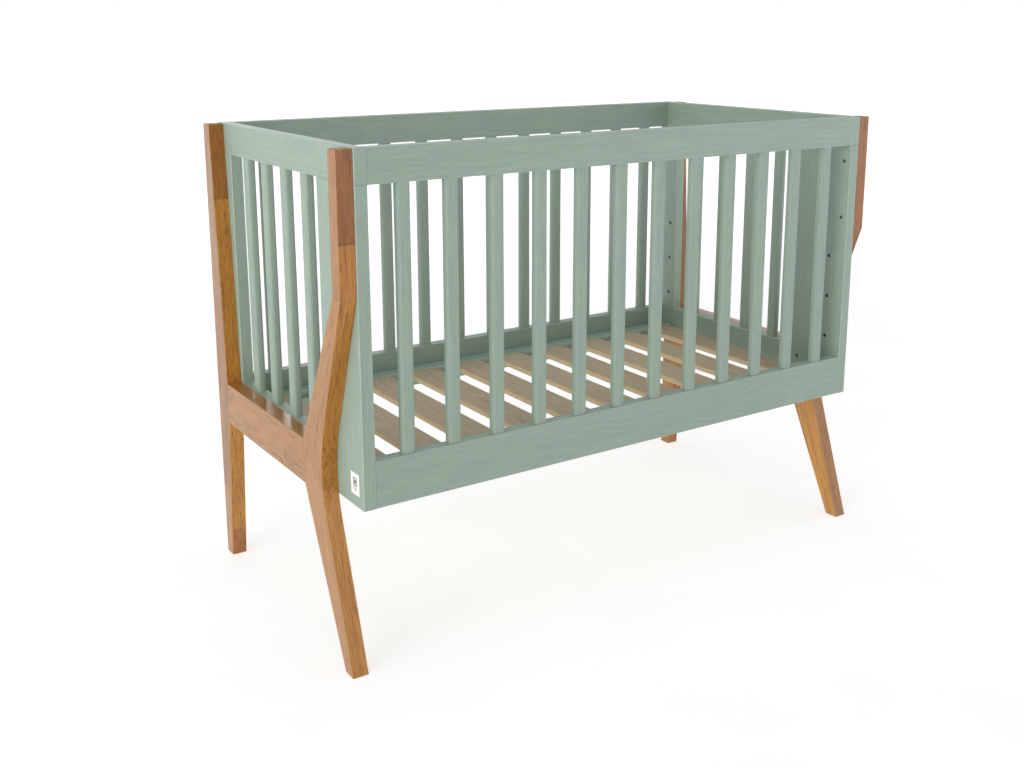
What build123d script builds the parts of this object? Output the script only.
from build123d import *
import os

# Baby crib: a painted box of rails and slats, carried by a hardwood leg frame outside each end,
# with a slatted mattress base that drops onto steel pins at one of four heights.
# Millimetres. X runs along the crib, the front side faces -Y, Z is up from the floor,
# and the origin is on the floor under the middle of the crib.

# ---------------------------------------------------------------- driving dimensions
mattress_length = 1200
mattress_width = 600
mattress_gap = 2.5            # room left all round the mattress

panel_thickness = 25          # end panels
rail_thickness = 25           # long rails, front and rear
body_bottom = 320             # underside of the painted box
body_top = 968
top_rail_height = 64
bottom_rail_height = 89
front_stile_width = 155
rear_stile_width = 68
edge_round = 1.5              # softened long edges of painted boards

slat_width = 28
slat_thickness = 19
slat_round = 7.5
slat_pitch = 96.7
slat_tenon = 12               # how far a slat goes into each rail

leg_thickness = 32
leg_inset = 2                 # leg frame stands this far inside the faces of the end panel
leg_top_drop = 1.5
post_width = 31.5
foot_width = 31
splice_drop = 193             # from the top rail's underside to the joint of post and front leg
knee_setback = 121.5          # corner of the front leg's front edge, behind the post's face
knee_radius = 280
front_seat_setback = 188      # where the cross rail meets the front leg, from the front face
rear_seat_setback = 60        # where it meets the rear leg, from the rear face
leg_edge_round = 1.2

base_rail_height = 31
base_lip_width = 38           # full-height part of a base side rail
base_ledge_width = 14         # step that carries the slat ends
base_slat_width = 76
base_slat_thickness = 12
base_slat_pitch = 122.6
base_slat_sink = 2            # slat tops lie this far below the lip
base_slat_round = 1.0
base_slat_end_gap = 0.5       # between a slat's end and the lip
base_side_gap = 2
base_end_gap = 2.5
base_pin_below_top = 9        # pin axis below the top of the side rail

first_pin_rise = 35.5         # lowest pin above the underside of the painted box
pin_pitch = 96
pin_rows = 4
pin_setback = 46.5            # pin axis behind the outer face of the long rails
pin_diameter = 6
pin_reach = 16
pin_rest_gap = 0.3
pin_slot_gap = 0.4
pin_slot_end_room = 1.5
pin_end_round = 1
pin_tail_room = 2             # left empty at the bottom of the insert
insert_diameter = 9
insert_length = 14
insert_bore = 5.2
insert_sink = 1
thread_gap = 0.1

screw_setback = 17.5          # post screws, from the outer face of the long rails
screw_below_rail = 37         # from the top rail's underside
screw_above_splice = 27
low_screw_from_seat = 58      # low screws, from the front leg's joint with the cross rail
low_screw_below_rail = 27     # and from the bottom rail's top edge
screw_shank = 5
screw_length = 35
screw_head = 8
screw_head_height = 3.2
counterbore = 8.6
counterbore_depth = 12
hex_key = 3
hex_socket_depth = 2.1

dowel_diameter = 8
dowel_length = 36
dowel_edge = 15               # dowel axis from the edge of the narrower board
stile_dowel_setback = 40      # dowels in the top of the front stile, from its two edges
dowel_room = 0.5              # empty length left at each end of a dowel hole
glue_gap = 0.05

cam_diameter = 15
cam_depth = 13.5
cam_from_end = 24
cam_bolt_height = 8           # bolt axis above the rail's underside
cam_bolt_diameter = 7
cam_bolt_reach = 11           # length inside the end panel
cam_slot_length = 10.5        # each arm of the screwdriver cross, end to end
cam_slot_width = 1.6
cam_slot_depth = 2
cam_eye = 8                   # hollow in the cam that takes the bolt's head
cam_gap = 0.1

slat_screw_shank = 3.5
slat_screw_head = 7
slat_screw_head_height = 2.5
slat_screw_bite = 8           # length inside the slat
slat_screw_spread = 40

label_width = 33
label_height = 41
label_thickness = 0.4
label_setback = 34
label_rise = 42.5             # middle of the label above the underside of the painted box

cut_overrun = 1               # cuts start this far outside the piece
flat_limit = 0.001            # an edge that spans less than this is square to the axis

# ---------------------------------------------------------------- sizes that follow
inner_x = mattress_length / 2 + mattress_gap
inner_y = mattress_width / 2 + mattress_gap
outer_x = inner_x + panel_thickness
outer_y = inner_y + rail_thickness
leg_x = outer_x + leg_thickness
bottom_rail_top = body_bottom + bottom_rail_height
top_rail_bottom = body_top - top_rail_height
splice_height = top_rail_bottom - splice_drop
front_stile_edge = -outer_y + front_stile_width
rear_stile_edge = outer_y - rear_stile_width
panel_mid = outer_x - panel_thickness / 2
rail_mid = outer_y - rail_thickness / 2
leg_mid = outer_x + leg_thickness / 2
leg_top = body_top - leg_top_drop
rail_mid_height = (body_bottom + bottom_rail_top) / 2
first_pin_height = body_bottom + first_pin_rise
base_top = first_pin_height + base_pin_below_top
base_bottom = base_top - base_rail_height
base_outer_y = inner_y - base_side_gap
base_lip_y = base_outer_y - base_lip_width
base_ledge_y = base_lip_y - base_ledge_width
base_end_x = inner_x - base_end_gap
base_slat_top = base_top - base_slat_sink
base_ledge_top = base_slat_top - base_slat_thickness


# ---------------------------------------------------------------- helpers
def block(x, y, z):
    """A box between two limits on each axis."""
    size = (x[1] - x[0], y[1] - y[0], z[1] - z[0])
    middle = ((x[0] + x[1]) / 2, (y[0] + y[1]) / 2, (z[0] + z[1]) / 2)
    return Pos(*middle) * Box(*size)


def board(x, y, z, grain, radius=edge_round):
    """A board with its long edges, those along the grain, rounded over."""
    body = block(x, y, z)
    return fillet(body.edges().filter_by(grain), radius)


def rod(diameter, length, start, direction):
    """A cylinder that grows from a point along a direction."""
    foot = Plane(origin=start, z_dir=direction)
    return foot * Cylinder(diameter / 2, length, align=(Align.CENTER, Align.CENTER, Align.MIN))


def both_ends(shape):
    return [shape, mirror(shape, Plane.YZ)]


def spread(low, high, pitch):
    """Centres of as many evenly spaced bars as an opening holds."""
    count = int((high - low) // pitch)
    first = (low + high) / 2 - pitch * (count - 1) / 2
    return [first + pitch * index for index in range(count)]


def group(shapes):
    """Separate solids kept together in one node."""
    solids = [solid for shape in shapes for solid in shape.solids()]
    return Compound(children=solids)


# ---------------------------------------------------------------- dowels and their holes
def rail_dowel_heights(low, high):
    """One dowel near the rail's top edge and one midway between it and the cam fitting."""
    upper = high - dowel_edge
    return ((low + cam_depth + upper) / 2, upper)


def dowel_places():
    """Joint point and direction of every dowel of the left end."""
    places = []
    low_heights = rail_dowel_heights(body_bottom, bottom_rail_top)
    high_heights = rail_dowel_heights(top_rail_bottom, body_top)
    for side in (-1, 1):
        for height in low_heights + high_heights:
            places.append(((-inner_x, side * rail_mid, height), (1, 0, 0)))
    stile_tops = (-outer_y + stile_dowel_setback, front_stile_edge - stile_dowel_setback,
                  outer_y - rear_stile_width / 2)
    for y in stile_tops:
        places.append(((-panel_mid, y, top_rail_bottom), (0, 0, 1)))
    for height in (body_bottom + dowel_edge, bottom_rail_top - dowel_edge):
        places.append(((-panel_mid, front_stile_edge, height), (0, 1, 0)))
        places.append(((-panel_mid, rear_stile_edge, height), (0, 1, 0)))
        places.append(((-leg_mid, -outer_y + front_seat_setback, height), (0, 1, 0)))
        places.append(((-leg_mid, outer_y - rear_seat_setback, height), (0, 1, 0)))
    places.append(((-leg_mid, -outer_y + leg_inset + post_width / 2, splice_height), (0, 0, 1)))
    return places


def dowel(point, direction, extra=0.0, gap=0.0):
    middle = Vector(*point)
    way = Vector(*direction)
    length = dowel_length + 2 * extra
    return rod(dowel_diameter + 2 * gap, length, middle - way * (length / 2), way)


def make_dowels():
    pins = [dowel(*place) for place in dowel_places()]
    return group([end for pin in pins for end in both_ends(pin)])


def dowel_holes():
    holes = [dowel(*place, extra=dowel_room, gap=glue_gap) for place in dowel_places()]
    return [end for hole in holes for end in both_ends(hole)]


# ---------------------------------------------------------------- cam fittings of the long rails
def cam_places():
    """Cam centre on the underside of a long rail, at the left end, front and rear."""
    for side in (-1, 1):
        for underside in (body_bottom, top_rail_bottom):
            yield (-inner_x + cam_from_end, side * rail_mid, underside)


def cam(place, gap=0.0):
    return rod(cam_diameter + 2 * gap, cam_depth + gap, place, (0, 0, 1))


def cam_lock(place):
    """Quarter-turn cam: a plug with an eye for the bolt's head and a screwdriver slot."""
    x, y, z = place
    body = cam(place)
    bolt_axis = (x - cam_diameter, y, z + cam_bolt_height)
    body -= rod(cam_bolt_diameter + 2 * cam_gap, cam_diameter, bolt_axis, (1, 0, 0))
    body -= Pos(x, y, z + cam_bolt_height) * Sphere(cam_eye / 2 + cam_gap)
    half = cam_slot_width / 2
    arm = cam_slot_length / 2
    body -= block((x - arm, x + arm), (y - half, y + half), (z, z + cam_slot_depth))
    body -= block((x - half, x + half), (y - arm, y + arm), (z, z + cam_slot_depth))
    return body


def cam_bolt(place, gap=0.0):
    """Connecting bolt from inside the end panel to the middle of the cam."""
    x, y, z = place
    start = (-inner_x - cam_bolt_reach - gap, y, z + cam_bolt_height)
    return rod(cam_bolt_diameter + 2 * gap, cam_bolt_reach + cam_from_end + gap, start, (1, 0, 0))


def make_cam_locks():
    return group([end for place in cam_places() for end in both_ends(cam_lock(place))])


def make_cam_bolts():
    return group([end for place in cam_places() for end in both_ends(cam_bolt(place))])


def cam_cuts():
    cuts = []
    for place in cam_places():
        cuts += both_ends(cam(place, cam_gap))
        cuts += both_ends(cam_bolt(place, cam_gap))
    return cuts


# ---------------------------------------------------------------- screws that hold the leg frames
def leg_screw_places():
    """Point on the left panel's inner face over each screw."""
    low_setback = front_seat_setback - low_screw_from_seat
    for height in (splice_height + screw_above_splice, top_rail_bottom - screw_below_rail):
        yield (-inner_x, -outer_y + screw_setback, height)
        yield (-inner_x, outer_y - screw_setback, height)
    yield (-inner_x, -outer_y + low_setback, bottom_rail_top - low_screw_below_rail)
    yield (-inner_x, outer_y - low_setback, bottom_rail_top - low_screw_below_rail)


def leg_screw(place):
    seat = Vector(*place) - Vector(counterbore_depth, 0, 0)
    shank = rod(screw_shank, screw_length, seat, (-1, 0, 0))
    head = rod(screw_head, screw_head_height, seat, (1, 0, 0))
    top = seat + Vector(screw_head_height, 0, 0)
    face = Plane(origin=top, z_dir=(-1, 0, 0))
    socket = extrude(face * RegularPolygon(hex_key / 2, 6, major_radius=False), hex_socket_depth)
    return shank + head - socket


def leg_screw_cut(place):
    top = Vector(*place)
    seat = top - Vector(counterbore_depth, 0, 0)
    reach = screw_length + dowel_room
    return rod(counterbore, counterbore_depth, top, (-1, 0, 0)) + rod(
        screw_shank + 2 * glue_gap, reach, seat, (-1, 0, 0))


def make_leg_screws():
    return group([end for place in leg_screw_places() for end in both_ends(leg_screw(place))])


# ---------------------------------------------------------------- pins and inserts of the base
def pin_heights():
    return [first_pin_height + pin_pitch * row for row in range(pin_rows)]


def insert(y, z):
    """Threaded steel sleeve, sunk a little into the panel's inner face."""
    start = (-inner_x - insert_sink, y, z)
    sleeve = rod(insert_diameter, insert_length, start, (-1, 0, 0))
    return sleeve - rod(insert_bore, insert_length, start, (-1, 0, 0))


def insert_cut(y, z):
    start = (-inner_x, y, z)
    return rod(insert_diameter + 2 * glue_gap, insert_sink + insert_length + dowel_room, start, (-1, 0, 0))


def pin_rows_y():
    return (-outer_y + pin_setback, outer_y - pin_setback)


def make_inserts():
    sleeves = [insert(y, z) for y in pin_rows_y() for z in pin_heights()]
    return group([end for sleeve in sleeves for end in both_ends(sleeve)])


def insert_cuts():
    cuts = [insert_cut(y, z) for y in pin_rows_y() for z in pin_heights()]
    return [end for cut in cuts for end in both_ends(cut)]


def support_pin(y):
    """Smooth pin with a threaded tail in the lowest insert."""
    shoulder = (-inner_x - insert_sink, y, first_pin_height)
    peg = rod(pin_diameter, insert_sink + pin_reach, shoulder, (1, 0, 0))
    rim = peg.edges().filter_by(GeomType.CIRCLE).sort_by(Axis.X)[-1]
    peg = fillet(rim, pin_end_round)
    return peg + rod(insert_bore - 2 * thread_gap, insert_length - pin_tail_room, shoulder, (-1, 0, 0))


def make_support_pins():
    return group([end for y in pin_rows_y() for end in both_ends(support_pin(y))])


# ---------------------------------------------------------------- slats of the sides and ends
def slat_bar(x, y, turned, bottom, top, gap=0.0):
    """An upright slat with well rounded edges; turned puts its broad face along Y."""
    section = RectangleRounded(slat_width + 2 * gap, slat_thickness + 2 * gap, slat_round + gap)
    angle = 90 if turned else 0
    return extrude(Pos(x, y, bottom) * Rot(0, 0, angle) * section, top - bottom)


def upright_slat(x, y, turned):
    return slat_bar(x, y, turned, bottom_rail_top - slat_tenon, top_rail_bottom + slat_tenon)


def slat_sockets(x, y, turned):
    """The two blind mortises that one slat stands in."""
    low = bottom_rail_top - slat_tenon - dowel_room
    high = top_rail_bottom + slat_tenon + dowel_room
    return [slat_bar(x, y, turned, low, bottom_rail_top, glue_gap),
            slat_bar(x, y, turned, top_rail_bottom, high, glue_gap)]


def side_slat_places():
    return spread(-inner_x, inner_x, slat_pitch)


def end_slat_places():
    return spread(front_stile_edge, rear_stile_edge, slat_pitch)


# ---------------------------------------------------------------- painted box
def cut_all(body, cuts):
    """Take away only the cuts that reach into the body's own box."""
    box = body.bounding_box()
    for cut in cuts:
        other = cut.bounding_box()
        apart = (
            other.min.X >= box.max.X or other.max.X <= box.min.X
            or other.min.Y >= box.max.Y or other.max.Y <= box.min.Y
            or other.min.Z >= box.max.Z or other.max.Z <= box.min.Z)
        if not apart:
            body = body - cut
    return body


def long_rail(side, low, high, holes):
    inner = side * inner_y
    outer = side * outer_y
    body = board((-inner_x, inner_x), (min(inner, outer), max(inner, outer)), (low, high), Axis.X)
    sockets = [cut for x in side_slat_places() for cut in slat_sockets(x, side * rail_mid, False)]
    return cut_all(body, holes + sockets)


def end_rail(low, high, front, rear, holes, ends_show):
    """Rail of an end panel; where its ends show at the corners, their edges are rounded too."""
    body = block((-outer_x, -inner_x), (front, rear), (low, high))
    rounded = body.edges() if ends_show else body.edges().filter_by(Axis.Y)
    sockets = [cut for y in end_slat_places() for cut in slat_sockets(-panel_mid, y, True)]
    return cut_all(fillet(rounded, edge_round), holes + sockets)


def stile(front, rear, holes):
    body = board((-outer_x, -inner_x), (front, rear), (body_bottom, top_rail_bottom), Axis.Z)
    return cut_all(body, holes)


def end_slats():
    return group([upright_slat(-panel_mid, y, True) for y in end_slat_places()])


# ---------------------------------------------------------------- hardwood leg frames
def leg_board(outline):
    """A board as thick as the leg frame, cut to an outline of Y and Z points."""
    face = Plane(origin=(-leg_x, 0, 0), x_dir=(0, 1, 0), z_dir=(1, 0, 0))
    body = extrude(face * make_face(outline), leg_thickness)
    long_edges = body.edges().filter_by(lambda edge: edge.bounding_box().size.X < flat_limit)
    return fillet(long_edges, leg_edge_round)


def front_post(holes):
    front = -outer_y + leg_inset
    rear = front + post_width
    outline = Polyline((front, splice_height), (rear, splice_height), (rear, leg_top),
                       (front, leg_top), close=True)
    return cut_all(leg_board(outline), holes)


def front_leg(holes):
    """Kinked leg: back from the post to the knee, then forward again to the foot."""
    front = -outer_y + leg_inset
    seat = -outer_y + front_seat_setback
    knee = (front + knee_setback, rail_mid_height)
    front_edge = FilletPolyline((front, splice_height), knee, (front, 0), radius=knee_radius)
    back_edge = Polyline((front, 0), (front + foot_width, 0), (seat, body_bottom),
                         (seat, bottom_rail_top), (front + post_width, splice_height),
                         (front, splice_height))
    return cut_all(leg_board(front_edge + back_edge), holes)


def rear_leg(holes):
    """Leg with an upright rear edge that swells to the cross rail's seat."""
    rear = outer_y - leg_inset
    seat = outer_y - rear_seat_setback
    outline = Polyline((rear, 0), (rear, leg_top), (rear - post_width, leg_top),
                       (seat, bottom_rail_top), (seat, body_bottom), (rear - foot_width, 0), close=True)
    return cut_all(leg_board(outline), holes)


def cross_rail(holes):
    front = -outer_y + front_seat_setback
    rear = outer_y - rear_seat_setback
    outline = Polyline((front, body_bottom), (rear, body_bottom), (rear, bottom_rail_top),
                       (front, bottom_rail_top), close=True)
    return cut_all(leg_board(outline), holes)


# ---------------------------------------------------------------- mattress base
def base_slat_places():
    half_space = (base_slat_pitch - base_slat_width) / 2
    return spread(-base_end_x - half_space, base_end_x + half_space, base_slat_pitch)


def slat_screw_places():
    """Point on the underside of the front ledge below each screw."""
    for x in base_slat_places():
        for offset in (-slat_screw_spread / 2, slat_screw_spread / 2):
            yield (x + offset, -base_lip_y + base_ledge_width / 2, base_bottom)


def slat_screw(place, gap=0.0):
    length = base_ledge_top - base_bottom + slat_screw_bite + gap
    head = rod(slat_screw_head + 2 * gap, slat_screw_head_height, place, (0, 0, 1))
    return head + rod(slat_screw_shank + 2 * gap, length, place, (0, 0, 1))


def slat_screws(gap=0.0):
    screws = [slat_screw(place, gap) for place in slat_screw_places()]
    return screws + [mirror(screw, Plane.XZ) for screw in screws]


def base_side_rail(screw_holes):
    """Front side rail of the base: a lip, a ledge for the slats and a slot over each pin."""
    span = (-base_end_x, base_end_x)
    body = board(span, (-base_outer_y, -base_lip_y), (base_bottom, base_top), Axis.X)
    ledge = board(span, (-base_lip_y - edge_round, -base_ledge_y), (base_bottom, base_ledge_top), Axis.X)
    body += ledge
    pin_y = -outer_y + pin_setback
    half = pin_diameter / 2 + pin_slot_gap
    roof = first_pin_height + pin_diameter / 2 + pin_rest_gap
    depth = pin_reach - base_end_gap + pin_slot_end_room
    for end in (-1, 1):
        inner = end * (base_end_x - depth)
        outer = end * (base_end_x + cut_overrun)
        slot_x = (min(inner, outer), max(inner, outer))
        body -= block(slot_x, (pin_y - half, pin_y + half), (base_bottom - cut_overrun, roof))
    return cut_all(body, screw_holes)


def base_slat(x, screw_holes):
    half = base_slat_width / 2
    reach = base_lip_y - base_slat_end_gap
    body = board((x - half, x + half), (-reach, reach), (base_ledge_top, base_slat_top),
                 Axis.Y, base_slat_round)
    return cut_all(body, screw_holes)


# ---------------------------------------------------------------- label
def care_label():
    y = -outer_y + label_setback
    z = body_bottom + label_rise
    return block((-outer_x - label_thickness, -outer_x), (y - label_width / 2, y + label_width / 2),
                 (z - label_height / 2, z + label_height / 2))


# ---------------------------------------------------------------- the whole crib
def build_parts():
    nodes = {}
    joint_holes = dowel_holes() + cam_cuts()
    screw_cuts = [end for place in leg_screw_places() for end in both_ends(leg_screw_cut(place))]
    panel_holes = joint_holes + screw_cuts + insert_cuts()

    for side, name in ((-1, "front"), (1, "rear")):
        nodes[f"{name}_top_rail"] = long_rail(side, top_rail_bottom, body_top, joint_holes)
        nodes[f"{name}_bottom_rail"] = long_rail(side, body_bottom, bottom_rail_top, joint_holes)
        for index, x in enumerate(side_slat_places(), 1):
            nodes[f"{name}_slat_{index:02d}"] = upright_slat(x, side * rail_mid, False)

    left = {
        "end_top_rail": end_rail(top_rail_bottom, body_top, -outer_y, outer_y, panel_holes, True),
        "end_bottom_rail": end_rail(body_bottom, bottom_rail_top, front_stile_edge,
                                    rear_stile_edge, panel_holes, False),
        "front_stile": stile(-outer_y, front_stile_edge, panel_holes),
        "rear_stile": stile(rear_stile_edge, outer_y, panel_holes),
        "end_slats": end_slats(),
        "front_post": front_post(panel_holes),
        "front_leg": front_leg(panel_holes),
        "rear_leg": rear_leg(panel_holes),
        "cross_rail": cross_rail(panel_holes),
    }
    for name, shape in left.items():
        nodes[f"left_{name}"] = shape
        nodes[f"right_{name}"] = mirror(shape, Plane.YZ)

    pilot_holes = slat_screws(glue_gap)
    front_base_rail = base_side_rail(pilot_holes)
    nodes["base_front_rail"] = front_base_rail
    nodes["base_rear_rail"] = mirror(front_base_rail, Plane.XZ)
    nodes["base_slats"] = group([base_slat(x, pilot_holes) for x in base_slat_places()])
    nodes["base_slat_screws"] = group(slat_screws())

    nodes["dowels"] = make_dowels()
    nodes["cam_locks"] = make_cam_locks()
    nodes["cam_bolts"] = make_cam_bolts()
    nodes["leg_screws"] = make_leg_screws()
    nodes["base_inserts"] = make_inserts()
    nodes["base_support_pins"] = make_support_pins()
    nodes["care_label"] = care_label()
    return nodes


os.makedirs("parts", exist_ok=True)
for node_name, node_shape in build_parts().items():
    export_step(node_shape, f"parts/{node_name}.step")
    print(node_name)
